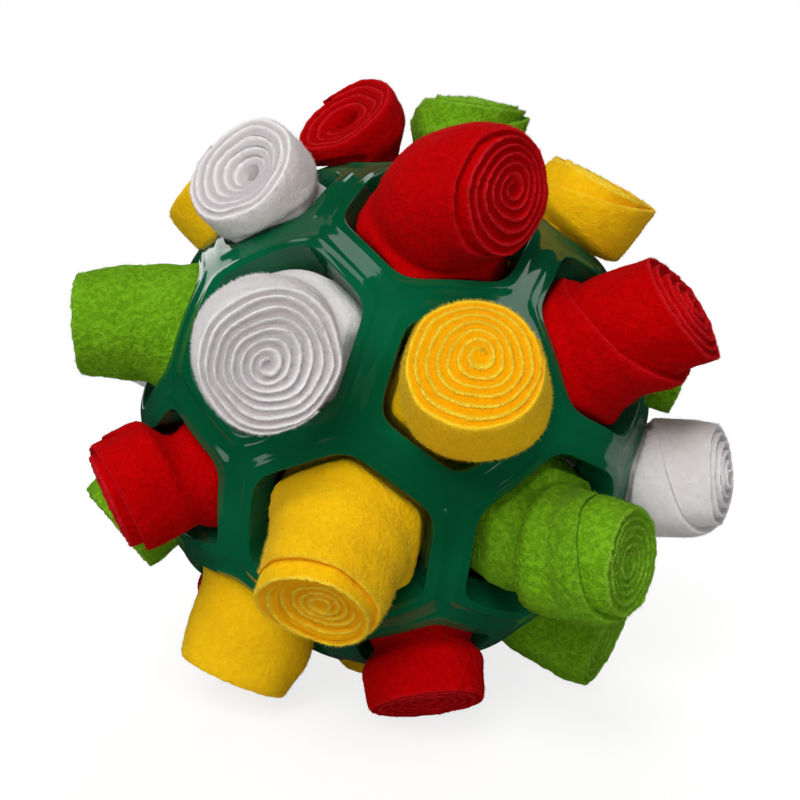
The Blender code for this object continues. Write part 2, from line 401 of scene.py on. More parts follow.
@dataclass(frozen=True)
class Hole:
    """An opening of the honeycomb.

    It has one row of sides per strut round it: the direction that leads away from the plane
    through the strut's middle, into the opening.
    """

    axis: Vector
    throat: float
    sides: Array

    FACET_SHARE = 0.99
    REACH = math.radians(45)
    SAME = math.radians(1)
    CORNER = 0.8 * MM
    EDGES_PER_RADIUS = 2.47801866

    @classmethod
    def half_angle(cls, sides: int) -> float:
        """The angle from a hole's middle to the middle of its edges.

        Args:
            sides: How many edges the hole has.

        Returns:
            The angle in radians, the same for a ball of any size.
        """
        apothem = 1 / 2 / math.tan(math.pi / sides)
        corner = 1 / 2 / math.sin(math.pi / sides)
        return math.atan2(apothem, math.sqrt(cls.EDGES_PER_RADIUS**2 - corner**2))

    @classmethod
    def among(cls, axis: Vector, axes: Sequence[Vector]) -> "Hole":
        """Works out a hole's shape from the holes next to it.

        Args:
            axis: Its direction from the ball's centre.
            axes: The directions of all the holes.

        Returns:
            The hole.
        """
        near = [other for other in axes if cls.SAME < axis.angle(other) < cls.REACH]
        half = cls.half_angle(len(near))
        sides = []
        for other in near:
            towards = (other - axis * axis.dot(other)).normalized()
            sides.append(axis * math.sin(half) - towards * math.cos(half))
        middle = BALL_RADIUS * math.cos(half)
        clear = math.atan2(BALL_RADIUS * math.sin(half) - STRUT_WIDTH / 2, middle)
        return cls(axis, NARROWEST * math.sin(clear) * cls.FACET_SHARE, np.array(sides))

    def room(self, points: Array) -> Array:
        """How far points are from the hole's rounded rim.

        Args:
            points: One row of coordinates for each point, from the ball's centre.

        Returns:
            The distances, positive in the opening.
        """
        far = np.linalg.norm(points, axis=-1)[..., None]
        gaps = points @ self.sides.T - far * (STRUT_WIDTH / 2 / BALL_RADIUS)
        return -self.CORNER * np.log(np.exp(-gaps / self.CORNER).sum(axis=-1))


@dataclass
class RubberBall:
    """The honeycomb: bands of rubber along the edges of a truncated icosahedron.

    Its struts are dished within the skin's depths, except for a bead along the rim of every hole.
    """

    name: str = "rubber_honeycomb"
    radius: float = BALL_RADIUS
    wall: float = BALL_WALL
    strut: float = STRUT_WIDTH
    edge: float = 2.0 * MM
    corner_cuts: int = 2
    dish: float = 0.25 * MM
    bead_inset: float = 1.9 * MM
    bead_width: float = 1.0 * MM
    skin: tuple[float, float] = (1.5 * MM, 0.2 * MM)

    def build(self, holes: Sequence[Hole]) -> Thing:
        """Models the ball.

        Args:
            holes: Its openings.

        Returns:
            The finished object, with its place in its mesh.
        """
        bpy.ops.mesh.primitive_ico_sphere_add(subdivisions=1, radius=self.radius)
        ball = bpy.context.object
        ball.name = self.name
        self._stand_on_a_face(ball)
        third = {
            "offset_type": "PERCENT", "offset_pct": 100 / 3, "affect": "VERTICES", "segments": 1
        }
        edit(ball, (bpy.ops.mesh.bevel, third))
        furthest = max(vert.co.length for vert in ball.data.vertices)
        ball.data.transform(Matrix.Scale(self.radius / furthest, 4))
        inset = {"thickness": self.strut / 2, "use_individual": True, "use_even_offset": True}
        edit(
            ball,
            (bpy.ops.mesh.inset, inset),
            (bpy.ops.mesh.delete, {"type": "ONLY_FACE"}),
            (bpy.ops.mesh.select_all, {"action": "SELECT"}),
            (bpy.ops.mesh.subdivide, {"number_cuts": self.corner_cuts}),
        )
        apply_modifier(ball, "SUBSURF", levels=2, render_levels=2)
        apply_modifier(
            ball, "CAST", cast_type="SPHERE", factor=1, size=self.radius, use_radius_as_size=False
        )
        apply_modifier(ball, "SOLIDIFY", thickness=self.wall, offset=-1)
        apply_modifier(ball, "BEVEL", width=self.edge, segments=5, limit_method="ANGLE")
        self._dish_struts(ball, holes)
        ball.data.transform(Matrix.Translation(UP * CENTRE_HEIGHT))
        use_only(ball)
        bpy.ops.object.shade_smooth()
        return ball

    def _dish_struts(self, ball: Thing, holes: Sequence[Hole]) -> None:
        """Hollows the struts a little, so that a soft bead is left along the rim of every hole."""
        mesh = ball.data
        points = np.empty(len(mesh.vertices) * 3)
        mesh.vertices.foreach_get("co", points)
        points = points.reshape(-1, 3)
        far = np.linalg.norm(points, axis=1)
        nearest = np.argmax(points @ np.array([hole.axis for hole in holes]).T, axis=1)
        room = np.empty(len(points))
        for index, hole in enumerate(holes):
            own = nearest == index
            room[own] = hole.room(points[own])
        bead = np.exp(-(((room + self.bead_inset) / self.bead_width) ** 2))
        skin = smooth_step(far, self.radius - self.skin[0], self.radius - self.skin[1])
        points *= (1 - self.dish * (1 - bead) * skin / far)[:, None]
        mesh.vertices.foreach_set("co", points.ravel())

    @staticmethod
    def _stand_on_a_face(ball: Thing) -> None:
        """Turns a face of the icosahedron upwards and one of its corners to the rear."""
        top = max(ball.data.polygons, key=lambda face: face.normal.z)
        ball.data.transform(top.normal.rotation_difference(UP).to_matrix().to_4x4())
        corners = [ball.data.vertices[index].co for index in top.vertices]
        rear = max(corners, key=lambda corner: corner.y)
        ball.data.transform(Quaternion(UP, math.atan2(rear.x, rear.y)).to_matrix().to_4x4())

    def dress(self, ball: Thing, material: bpy.types.Material) -> None:
        """Gives the ball its rubber and its place among the solids.

        Args:
            ball: The finished ball.
            material: The rubber.
        """
        ball.data.materials.clear()
        ball.data.materials.append(material)
        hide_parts("rubber_ball")
        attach(ball, "ball")


@dataclass
class FleeceRoll:
    """A strip of fleece wound into a roll and pushed into a hole of the ball.

    The roll leans by an angle towards a direction that is counted round from upwards to the right,
    as seen from outside. Reach is how far its end is from the ball's centre along its path, as a
    share of the ball's radius, or 0 where it stands on the floor. The end's heights are in
    millimetres above its rim, from the outermost turn to the middle, and drift is how far its
    middle lies to the right and upwards, as the camera sees it, also in millimetres. Shift moves
    all of the roll that stands out of the ball, counted the same way. Slant is how steeply the end
    rises to the right and upwards, seen the same way. A wrap is the number of
    outermost turns that are pushed down, how far in millimetres, and how fast the edge comes down:
    evenly at 1, early below it and late above it. A band is how wide these turns are in
    millimetres, or 0 where they reach into the ball. Seam is where the strip ends, in degrees
    anticlockwise from the right as the camera sees it, or None where it is hidden behind. Fat is
    how thick the roll is, as a share of the usual, and a higher round rim makes its end softer.
    """

    place: str
    fleece: Fleece
    reach: float
    lean: float = 0
    toward: float = 0
    side: int = 0
    loose: bool = False
    turns: float = 6
    end: tuple[float, ...] = (0, 0.1, -0.2, -0.5, -0.8)
    core: float = -0.55 * MM
    thick: float = 2.1 * MM
    way: int = 1
    seam: Optional[float] = None
    wrap: tuple[float, float, float] = (0, 0, 1)
    band: float = 0
    fat: float = 1
    drift: tuple[float, float] = (0, 0)
    shift: tuple[float, float] = (0, 0)
    slant: tuple[float, float] = (0, 0)
    round_rim: float = 1
    fibres: int = 2000

    RADIUS = 12.6 * MM
    CLEARANCE = 0.35 * MM
    PRESSED = 0.5 * MM
    LOOSE_SLIDE = 0.3 * MM
    INNER_END = 36 * MM
    BEND_START = 50 * MM
    BEND_ROOM = 1.5 * MM
    SHORTEST_BEND = 4.5 * MM
    SWELL_START = 53 * MM
    SHOULDER_RISE = 2.5 * MM
    RIM_SHARE = 0.97
    PAIR_CORNER_SHARE = 0.91
    STANDING_CUT = 0.5 * MM
    FILL_SHARE = 1.18
    PAIR_FILL_SHARE = 0.9
    FILL_RANGE = (40 * MM, 42.5 * MM, 49 * MM, 53 * MM)
    STEP = 0.62 * MM
    TURN_STEP = 0.24
    FINE_STEPS = 4000
    PATH_STEPS = 40
    HALVINGS = 9
    FACE_COLUMNS = 28
    LUMP = 0.045
    SLACK = 0.7 * MM
    FRAY = 0.3 * MM
    SHIFT_RANGE = (52 * MM, 57 * MM)
    SWELL_RISE = 6 * MM
    LUMP_SIZE = 17 * MM
    SLACK_SIZE = 5.5 * MM
    PILE = ((1.5 * MM, 0.26 * MM, 9), (0.8 * MM, 0.16 * MM, 5))
    FRAY_SIZE = 0.6 * MM
    TURN_WANDER = 0.12 * MM
    FACE_FOOT = (0, 0.22)
    FACE_RANGE = (0.4, 0.985)
    INNER_FACE = np.array([0, 0.5, 0.93])
    TIP = 0.16
    TIP_THINNING = 0.85
    PACKING = 0.985
    FIBRE_RADIUS = 0.035 * MM
    FIBRE_ROOT = 0.08 * MM
    FIBRE_SPREAD = 0.55
    FIBRE_LENGTHS = (0.45, 1.4)
    # Loose fibres take this share of the pale edge colour, partly a painted highlight.
    FIBRE_FRINGE_AND_HIGHLIGHT = 0.7
    EDGE = np.array([-1, -0.87, -0.7, -0.45, -0.2, 0.05, 0.3, 0.52, 0.7, 0.86, 1])
    TURN = np.array([-33, -37, -40, -42, -40, -33, -22, -11, -3, 0, -20]) * 0.01 * MM
    BRIM = np.array([-36, -40, -42, -40, -31, -18, -8, -12, -44, -100, -200]) * 0.01 * MM
    # How much painted shade each point across a turn gets between the turns, and on the outermost
    # turn.
    VALLEY_SHADE = np.array([0.8, 0.92, 1, 1, 0.95, 0.8, 0.5, 0.2, 0.05, 0, 0.4])
    BRIM_VALLEY_SHADE = np.array([0.8, 0.92, 1, 0.9, 0.7, 0.3, 0.1, 0, 0, 0, 0])
    # How much paler each point across a turn is: the cut edge's own colour and a painted highlight
    # on its crest, and on the outermost turn.
    RIDGE = np.array([0, 0, 0, 0, 0, 0, 0.12, 0.45, 0.85, 1, 0.6])
    BRIM_RIDGE = np.array([0, 0, 0, 0, 0, 0.2, 0.4, 0.3, 0.1, 0, 0])

    def settle(self, hole: Hole, seed: float) -> None:
        """Works out the roll's path from the hole that it is in.

        Args:
            hole: The hole.
            seed: A number that makes this roll's lumps its own.
        """
        axis, throat = hole.axis, hole.throat
        self.hole, self.axis, self.seed = hole, axis, seed
        upright = abs(axis.z) > 0.999
        east = RIGHT.copy() if upright else UP.cross(axis).normalized()
        north = axis.cross(east)
        toward = math.radians(self.toward)
        self.leaning = north * math.cos(toward) + east * math.sin(toward)
        self.tilt_axis = axis.cross(self.leaning)
        lean = math.radians(self.lean)
        self.outward = self.leaning * math.cos(lean) - axis * math.sin(lean)
        self.neck = throat - self.CLEARANCE
        self.fill = throat * self.FILL_SHARE
        self.offset = Vector()
        if self.side:
            self.fill = throat * self.PAIR_FILL_SHARE
            play = self.CLEARANCE * (1 + self.PAIR_CORNER_SHARE / 2)
            self.neck = (throat - play) / (1 + self.PAIR_CORNER_SHARE)
            self.offset = RIGHT * self.side * (self.neck + self.CLEARANCE / 2)
        elif self.loose:
            self.offset = self.leaning * (self.neck - self.RADIUS + self.LOOSE_SLIDE)
            self.neck = self.RADIUS
        self.radius = self.RADIUS * self.fat
        self.bend = max((self.neck + self.BEND_ROOM) * lean, self.SHORTEST_BEND)
        self.rim = self.reach * BALL_RADIUS
        if not self.reach:
            spread = math.hypot(axis.x, axis.y)
            lowest = CENTRE_HEIGHT + (0 if upright else self.STANDING_CUT)
            self.rim = (lowest - self.RADIUS * self.RIM_SHARE * spread) / -axis.z

    def centre(self, height: Array) -> tuple[Array, Array]:
        """The roll's centreline.

        Args:
            height: How far along its path each point is, counted from the ball's centre.

        Returns:
            The points from the ball's centre, and the angle that the roll has turned by.
        """
        lean = math.radians(self.lean)
        share = np.clip((height - self.BEND_START) / self.bend, 0, 1)
        half = lean * share / 2
        chord = self.bend * share * np.sinc(half / math.pi)
        beyond = np.maximum(height - self.BEND_START - self.bend, 0)
        along = np.minimum(height, self.BEND_START) + chord * np.cos(half) + beyond * math.cos(lean)
        aside = chord * np.sin(half) + beyond * math.sin(lean)
        axis, leaning, offset = map(np.array, (self.axis, self.leaning, self.offset))
        return along[..., None] * axis + aside[..., None] * leaning + offset, lean * share

    def girth(self, height: Array) -> Array:
        """The roll's radius: it is pressed in the hole and swells outside it.

        Args:
            height: How far along its path each point is.

        Returns:
            The radius at each.
        """
        swollen = self.BEND_START + self.bend + self.SHOULDER_RISE
        swell = smooth_step(height, self.SWELL_START, swollen)
        radius = self.neck + (self.radius - self.neck) * swell
        first, full, last, gone = self.FILL_RANGE
        filled = smooth_step(height, first, full) * (1 - smooth_step(height, last, gone))
        radius = radius + (self.fill - radius) * filled
        taper = (1 - self.RIM_SHARE) * self.round_rim
        start = self.rim - (4 + 1.5 * self.round_rim) * MM
        return radius * (1 - taper * smooth_step(height, start, self.rim + 1 * MM))

    def _is_clear(self, points: Array) -> Array:
        """Which points keep clear of the rubber, and of the roll that shares the hole."""
        far = np.linalg.norm(points, axis=-1)
        clear = (far > BALL_RADIUS + self.PRESSED) | (self.hole.room(points) > self.PRESSED)
        clear |= far < BALL_RADIUS - BALL_WALL
        if self.side:
            clear &= points[..., 0] * self.side > self.CLEARANCE
        return clear

    def points(self, height: Array, angle: Array, share: Array) -> Array:
        """Points of the roll, which is flattened where it presses on the rubber.

        Args:
            height: How far along the path each point is.
            angle: Its angle round the path.
            share: Its distance from the path, as a share of the roll's radius.

        Returns:
            One row of coordinates for each point, in world space.
        """
        axis, leaning, tilt = map(np.array, (self.axis, self.leaning, self.tilt_axis))
        centre, turned = self.centre(height)
        rise = smooth_step(height, *self.SHIFT_RANGE)
        move = np.array(CAMERA_RIGHT * self.shift[0] + CAMERA_UP * self.shift[1]) * MM
        centre = centre + rise[..., None] * move
        out = np.cos(turned)[..., None] * leaning - np.sin(turned)[..., None] * axis
        ring = np.cos(angle)[..., None] * out + np.sin(angle)[..., None] * tilt
        outside = smooth_step(height, self.SWELL_START, self.SWELL_START + self.SWELL_RISE)
        far = self.girth(height)
        skin = (centre + far[..., None] * ring).reshape(-1, 3)
        swell = lumps(skin, self.LUMP_SIZE, self.seed).reshape(far.shape) * 2 * self.LUMP
        far = far * (1 + swell * outside)
        low, high = np.zeros(far.shape), np.ones(far.shape)
        free = self._is_clear(centre + far[..., None] * ring)
        for _ in range(self.HALVINGS):
            half = (low + high) / 2
            clear = self._is_clear(centre + (far * half)[..., None] * ring)
            low, high = np.where(clear, half, low), np.where(clear, high, half)
        far = far * np.where(free, 1, low) * share
        aside = np.array(CAMERA_RIGHT * self.drift[0] + CAMERA_UP * self.drift[1]) * MM
        normal = np.cos(turned)[..., None] * axis + np.sin(turned)[..., None] * leaning
        aside = aside - (normal @ aside)[..., None] * normal
        inner = ((1 - share**2) * outside)[..., None]
        wound = centre + far[..., None] * ring + aside * inner
        slack = lumps(wound.reshape(-1, 3), self.SLACK_SIZE, self.seed + 3).reshape(far.shape)
        slack *= self.SLACK * np.minimum(share * (1.02 - share) * 5, 1) * outside
        return wound + slack[..., None] * ring + np.array(UP * CENTRE_HEIGHT)

    def winding(self) -> tuple[Array, Array, Array]:
        """The steps of the winding, evenly spaced along the strip.

        Returns:
            For each step its angle, its distance from the middle as a share of the radius, and how
            many turns lie outside it.
        """
        first = (self.core + self.thick / 2) / self.radius
        last = 1 - self.thick / 2 / self.radius
        fine = np.linspace(0, 1, self.FINE_STEPS)
        share = first + (last - first) * fine
        turn = math.tau * self.turns / (len(fine) - 1)
        run = (share[1:] + share[:-1]) / 2 * self.radius * turn
        path = np.linspace(self.INNER_END, self.rim, self.PATH_STEPS)
        self.strip = float(run.sum() * self.girth(path).mean() / self.radius)
        pace = np.concatenate([[0], np.cumsum(np.maximum(run / self.STEP, turn / self.TURN_STEP))])
        steps = np.interp(np.linspace(0, pace[-1], round(pace[-1])), pace, fine)
        seam = -TOWARDS_CAMERA
        if self.seam is not None:
            side = math.radians(self.seam)
            seam = CAMERA_RIGHT * math.cos(side) + CAMERA_UP * math.sin(side)
        start = math.atan2(seam.dot(self.tilt_axis), seam.dot(self.outward))
        outside = (1 - steps) * self.turns
        return start - self.way * math.tau * outside, first + (last - first) * steps, outside

    def top(self, angle: Array, middle: Array, outside: Array) -> Array:
        """How high the strip's edge is at each step of the winding.

        Args:
            angle: Each step's angle round the roll.
            middle: Its distance from the middle, as a share of the radius.
            outside: How many turns lie outside it.

        Returns:
            The heights along the roll's path.
        """
        place = np.linspace(0, self.turns, len(self.end))
        height = np.interp(outside, place, self.end) * MM
        for turn in range(math.ceil(self.turns)):
            own = math.sin(self.seed * 3.7 + turn * 2.3) * self.TURN_WANDER
            height = height + own * np.clip(1 - np.abs(outside - turn - 0.5), 0, 1)
        turns, drop, run = self.wrap
        if turns:
            height = height - drop * MM * np.clip(1 - outside / turns, 0, 1) ** run
        slant = CAMERA_RIGHT * self.slant[0] + CAMERA_UP * self.slant[1]
        rise = np.cos(angle) * slant.dot(self.outward) + np.sin(angle) * slant.dot(self.tilt_axis)
        return self.rim + height + rise * middle * self.radius

    def build(self) -> Thing:
        """Models the roll as one closed strip.

        Returns:
            The finished object, with its place in its mesh.
        """
        angle, middle, outside = self.winding()
        top = self.top(angle, middle, outside)[:, None]
        last_turn = smooth_step(1.05 - outside, 0, 0.12)[:, None]
        profile = self.TURN + (self.BRIM - self.TURN) * last_turn
        # Painted shade between the turns, then the pale edge with its painted highlight, both
        # changed on the outermost turn.
        valley_shade = self.VALLEY_SHADE + (self.BRIM_VALLEY_SHADE - self.VALLEY_SHADE) * last_turn
        ridge = self.RIDGE + (self.BRIM_RIDGE - self.RIDGE) * last_turn
        crest = top + profile
        rest = np.linspace(*self.FACE_RANGE, self.FACE_COLUMNS - len(self.FACE_FOOT))
        outer_face = np.concatenate([self.FACE_FOOT, rest])[::-1]
        low = np.full(top.shape, self.INNER_END)
        if self.band:
            low[outside < self.wrap[0]] = self.rim - self.band * MM
        inner = low + (crest[:, :1] - low) * self.INNER_FACE
        outer = low + (crest[:, -1:] - low) * outer_face
        height = np.concatenate([inner, crest, outer], axis=1)
        blank_in, blank_out = np.zeros(inner.shape), np.zeros(outer.shape)
        valley_shade = np.concatenate([blank_in, valley_shade, blank_out], axis=1)
        ridge = np.concatenate([blank_in, ridge, blank_out], axis=1)
        across = np.concatenate([-np.ones(inner.shape[1]), self.EDGE, np.ones(outer.shape[1])])
        thin = 1 - self.TIP_THINNING * smooth_step(self.TIP - outside, 0, self.TIP)[:, None]
        pitch = (middle[-1] - middle[0]) * self.radius / self.turns
        half = min(self.thick, pitch * self.PACKING) / 2 / self.radius
        share = np.maximum(middle[:, None] - half + half * (across[None, :] + 1) * thin, 0)
        if self.core < 0:
            closing = smooth_step(outside, self.turns - 1.1, self.turns - 0.85)[:, None]
            outer_edge = share[:, -1:]
            stretch = 1 + closing * (outer_edge / (2 * half * thin) - 1)
            share = outer_edge - (outer_edge - share) * stretch
            share = np.maximum(share, 0)
        angle = np.broadcast_to(angle[:, None], height.shape)
        points = self.points(height, angle, share)
        strip, placed, facing = self._mesh(points, outside, {"fringe_and_highlight": ridge, "groove_shade": valley_shade})
        self._add_fibres(strip, placed, facing, outside)
        use_only(strip)
        bpy.ops.object.shade_smooth()
        return strip

    def _mesh(
        self, points: Array, outside: Array, values: Mapping[str, Array]
    ) -> tuple[Thing, Array, Array]:
        """Turns a table of points into a closed mesh with a soft, uneven pile.

        Args:
            points: Rows of points along the strip, each row going once round it.
            outside: How many turns lie outside each row.
            values: What is stored at the points, by name.

        Returns:
            The object, its points, and the directions that they face.
        """
        rows, columns = points.shape[:2]
        along = np.gradient(points, axis=0)
        round_it = np.roll(points, -1, axis=1) - np.roll(points, 1, axis=1)
        facing = np.cross(along, round_it)
        facing /= np.linalg.norm(facing, axis=-1, keepdims=True) + 1e-12
        away = points - np.array(UP * CENTRE_HEIGHT)
        path = away @ np.array(self.axis)
        away = away - path[..., None] * np.array(self.axis)
        if (facing * away)[:, columns - columns // 3].sum() < 0:
            facing = -facing
        flat = points.reshape(-1, 3)
        pile = sum(lumps(flat, size, self.seed + own) * depth for size, depth, own in self.PILE)
        fray = lumps(flat, self.FRAY_SIZE, self.seed + 7).reshape(rows, columns) * self.FRAY
        pile = pile.reshape(rows, columns) * self.fleece.value.rough
        crest = slice(columns - self.FACE_COLUMNS - len(self.EDGE), columns - self.FACE_COLUMNS)
        inner_turn = smooth_step(outside, 0.95, 1.05)[:, None]
        upwards = facing[:, crest.start + 4 : crest.start + 5]
        rising = facing.copy()
        rising[:, crest] += (upwards - facing[:, crest]) * inner_turn[..., None]
        shown = np.zeros((rows, columns))
        shown[:, crest] = 1
        covered = smooth_step(outside, 1 + self.wrap[0], 1.15 + self.wrap[0])
        shown[:, crest.stop :] = 1 - covered[:, None]
        pile[:, crest] += fray[:, crest] * np.maximum(values["fringe_and_highlight"][:, crest], 0.3)
        proud = smooth_step(path, self.SWELL_START, BALL_RADIUS + 2 * MM) * shown
        placed = points + rising * (pile * proud)[..., None]
        placed[..., 2] = np.maximum(placed[..., 2], 0)
        bpy.ops.mesh.primitive_grid_add(x_subdivisions=columns, y_subdivisions=rows - 1, size=2)
        strip = bpy.context.object
        strip.name = f"{self.place}_{self.fleece.name.lower()}_fleece_strip"
        mesh = strip.data
        plan = np.empty(len(mesh.vertices) * 3, np.float32)
        mesh.vertices.foreach_get("co", plan)
        plan = (plan.reshape(-1, 3) + 1) / 2
        row = np.rint(plan[:, 1] * (rows - 1)).astype(int)
        column = np.rint(plan[:, 0] * columns).astype(int) % columns
        mesh.vertices.foreach_set("co", placed[row, column].astype(np.float32).ravel())
        for name, table in values.items():
            layer = mesh.attributes.new(name, "FLOAT", "POINT")
            layer.data.foreach_set("value", table[row, column].astype(np.float32))
        for layer in list(mesh.uv_layers):
            mesh.uv_layers.remove(layer)
        edit(
            strip,
            (bpy.ops.mesh.remove_doubles, {"threshold": 0.5e-6}),
            (bpy.ops.mesh.fill_holes, {"sides": 0}),
            (bpy.ops.mesh.select_all, {"action": "SELECT"}),
            (bpy.ops.mesh.normals_make_consistent, {"inside": False}),
        )
        return strip, placed, facing

    def _fibres(
        self, chance: np.random.Generator, roots: Array, facing: Array, length: float
    ) -> tuple[Array, Array]:
        """Short closed spikes of pile that stand on the fleece.

        Args:
            chance: Where the random numbers come from.
            roots: Where each fibre stands.
            facing: The direction that the fleece faces there.
            length: The fibres' mean length.

        Returns:
            The spikes' points and their triangles.
        """
        count = len(roots)
        lean = chance.normal(0, self.FIBRE_SPREAD, (count, 3))
        grow = facing + lean
        grow /= np.linalg.norm(grow, axis=1, keepdims=True)
        size = length * chance.uniform(*self.FIBRE_LENGTHS, (count, 1))
        beside = np.cross(grow, chance.normal(0, 1, (count, 3)))
        beside /= np.linalg.norm(beside, axis=1, keepdims=True)
        other = np.cross(grow, beside)
        foot = roots - grow * self.FIBRE_ROOT
        corners = [
            foot + (beside * math.cos(turn) + other * math.sin(turn)) * self.FIBRE_RADIUS
            for turn in (0, math.tau / 3, math.tau * 2 / 3)
        ]
        spikes = np.stack([*corners, foot + grow * size], axis=1).reshape(-1, 3)
        shape = np.array([[0, 1, 3], [1, 2, 3], [2, 0, 3], [0, 2, 1]])
        return spikes, (shape[None] + 4 * np.arange(count)[:, None, None]).reshape(-1, 3)

    def _add_fibres(
        self, strip: Thing, placed: Array, facing: Array, outside: Array
    ) -> None:
        """Stands fibres on the outermost turn and along the ridges of the end.

        Args:
            strip: The strip that they become a part of.
            placed: Its points.
            facing: The directions that they face.
            outside: How many turns lie outside each step of the winding.
        """
        chance = np.random.default_rng(round(self.seed) + 11)
        rows, columns = placed.shape[:2]
        skin_rows = np.flatnonzero(outside[:-1] < 1)
        crest = columns - self.FACE_COLUMNS
        count = self.fibres
        row = chance.choice(skin_rows, count)
        column = chance.integers(crest - 3, columns - 10, count)
        ridge_row = np.sort(chance.integers(0, rows - 1, count * 2 // 3))
        ridge_column = chance.choice([crest - 3, crest - 2, crest - 1], len(ridge_row))
        row, column = np.concatenate([row, ridge_row]), np.concatenate([column, ridge_column])
        shift = chance.uniform(0, 1, (2, len(row), 1))
        roots = placed[row, column]
        roots = roots + (placed[row + 1, column] - roots) * shift[0]
        roots = roots + (placed[row, column - 1] - placed[row, column]) * shift[1]
        lengths = self.fleece.value.fuzz
        points, faces = self._fibres(chance, roots, facing[row, column], lengths)
        points[:, 2] = np.maximum(points[:, 2], 0)
        mesh = bpy.data.meshes.new("fibres")
        mesh.from_pydata(points.tolist(), [], faces.tolist())
        # Fibres are paler, partly a painted highlight, and get no painted shade.
        for name, level in (("fringe_and_highlight", self.FIBRE_FRINGE_AND_HIGHLIGHT), ("groove_shade", 0.0)):
            layer = mesh.attributes.new(name, "FLOAT", "POINT")
            layer.data.foreach_set("value", np.full(len(points), level, np.float32))
        fibres = bpy.data.objects.new("fibres", mesh)
        bpy.context.scene.collection.objects.link(fibres)
        use_only(strip)
        fibres.select_set(True)
        bpy.ops.object.join()

    def dress(self, strip: Thing, material: bpy.types.Material) -> None:
        """Gives the strip its fleece and its place among the solids.

        Args:
            strip: The finished strip.
            material: Its fleece.
        """
        strip.data.materials.clear()
        strip.data.materials.append(material)
        node = f"{self.place}_{self.fleece.name.lower()}_roll"
        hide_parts(node)
        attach(strip, node)


W, Y, R, G = Fleece.WHITE, Fleece.YELLOW, Fleece.RED, Fleece.GREEN
ROLLS = (
    FleeceRoll("crown_left", R, 1.21, 50, -130, side=-1, turns=3.8, core=2.2 * MM,
               end=(0, -0.6, -1.0, -1.8), fibres=4000),
    FleeceRoll("crown_right", G, 1.23, 28, 128, side=1, way=-1, wrap=(0.55, 7, 1.3), seam=200,
               end=(-2.2, -0.5, 0, 0.2), slant=(0.35, 0), shift=(2.8, 2.0), fat=1.12, round_rim=5,
               fibres=4000),
    FleeceRoll("top_front", R, 1.32, 61, 150, turns=6.5, end=(-0.8, -0.4, 0, 0.4, 0.6, 0.4, 0.2),
               wrap=(0.95, 2.2, 1), seam=290, shift=(0.2, -0.4), drift=(0.4, 1.4), round_rim=4,
               fibres=6000),
    FleeceRoll("top_left", W, 1.20, 30, 144, turns=5.4, core=0.8 * MM, end=(0, 0, -0.6, -1.6, -3),
               way=-1, fibres=5000),
    FleeceRoll("top_right", Y, 1.20, 6, -148, way=-1, wrap=(0.55, 6, 2.2), seam=190,
               end=(0, 0.6, 0.6, 0), slant=(0.25, -0.1), shift=(2.6, -2.4), fat=1.08, round_rim=2),
    FleeceRoll("top_rear", W, 1.27, 12, 40),
    FleeceRoll("top_rear_left", Y, 1.26, 14, 100, way=-1),
    FleeceRoll("top_rear_right", R, 1.25, 10, -30),
    FleeceRoll("front_left", W, 1.35, 48, 122, loose=True, turns=7.6, drift=(-0.8, -1.2),
               fibres=7000),
    FleeceRoll("front_right", R, 1.27, 7, 74, way=-1, end=(-1.2, -0.6, 0, 0.8, 1.2, 1.5),
               wrap=(0.9, 15, 0.9), seam=110, slant=(0, -0.25), fat=1.06, shift=(0, 0.8),
               fibres=4000),
    FleeceRoll("left", G, 1.27, 22, -160, round_rim=4),
    FleeceRoll("right", G, 1.25, 43, -150, loose=True),
    FleeceRoll("rear_left", R, 1.30, 15, -60, way=-1),
    FleeceRoll("rear_right", Y, 1.28, 18, 100),
    FleeceRoll("front", Y, 1.22, 25, -35, turns=7.0, drift=(0.8, 1.4), shift=(2.2, -1.8), fat=1.08,
               seam=20, round_rim=4.5, fibres=9000),
    FleeceRoll("left_rear", W, 1.29, 8, 20, way=-1),
    FleeceRoll("right_rear", W, 1.26, 10, -140),
    FleeceRoll("rear", W, 1.28, 9, 75, way=-1),
    FleeceRoll("low_left", R, 1.22, 19, -128, wrap=(1.2, 3.5, 0.8), seam=80, way=-1,
               end=(-0.3, -0.1, 0, 0.2), shift=(-0.9, 2.4), round_rim=2),
    FleeceRoll("low_right", W, 1.29, 21, -37, way=-1, wrap=(0.6, 11, 1.2), seam=110,
               end=(-1, 0, 1, 1.5, 2), round_rim=2, fat=1.06, fibres=4000),
    FleeceRoll("low_front_left", Y, 1.20, 18, -165, turns=6.6, wrap=(0.9, 3, 0.8), seam=165,
               end=(0.3, 0.8, -0.7, -1.4, -1.2, -1.0), drift=(0.9, -0.5), round_rim=2, fibres=7000),
    FleeceRoll("low_front_right", G, 1.28, 26, 40, turns=6.4, way=-1, wrap=(0.6, 8, 0.9), band=15,
               seam=80, shift=(-0.6, -0.6), drift=(1.0, 0), round_rim=3, fibres=7000),
    FleeceRoll("low_side_left", G, 1.21, 28, 132, loose=True),
    FleeceRoll("low_side_right", Y, 1.27, 12, 30, way=-1),
    FleeceRoll("low_rear_left", Y, 1.29, 20, -40),
    FleeceRoll("low_rear_right", R, 1.28, 15, 110, way=-1),
    FleeceRoll("foot_left", Y, 1.19, 16, -172, fat=1.12, shift=(0.4, -0.6), round_rim=5),
    FleeceRoll("foot_right", G, 1.25, 35, -27, way=-1, round_rim=3),
    FleeceRoll("foot_rear", G, 0, round_rim=2),
    FleeceRoll("foot_front", R, 0, way=-1, round_rim=2),
    FleeceRoll("foot_rear_left", R, 0, round_rim=2),
    FleeceRoll("foot_rear_right", W, 0, way=-1, round_rim=2),
    FleeceRoll("base", Y, 0, end=(0, 0)),
)


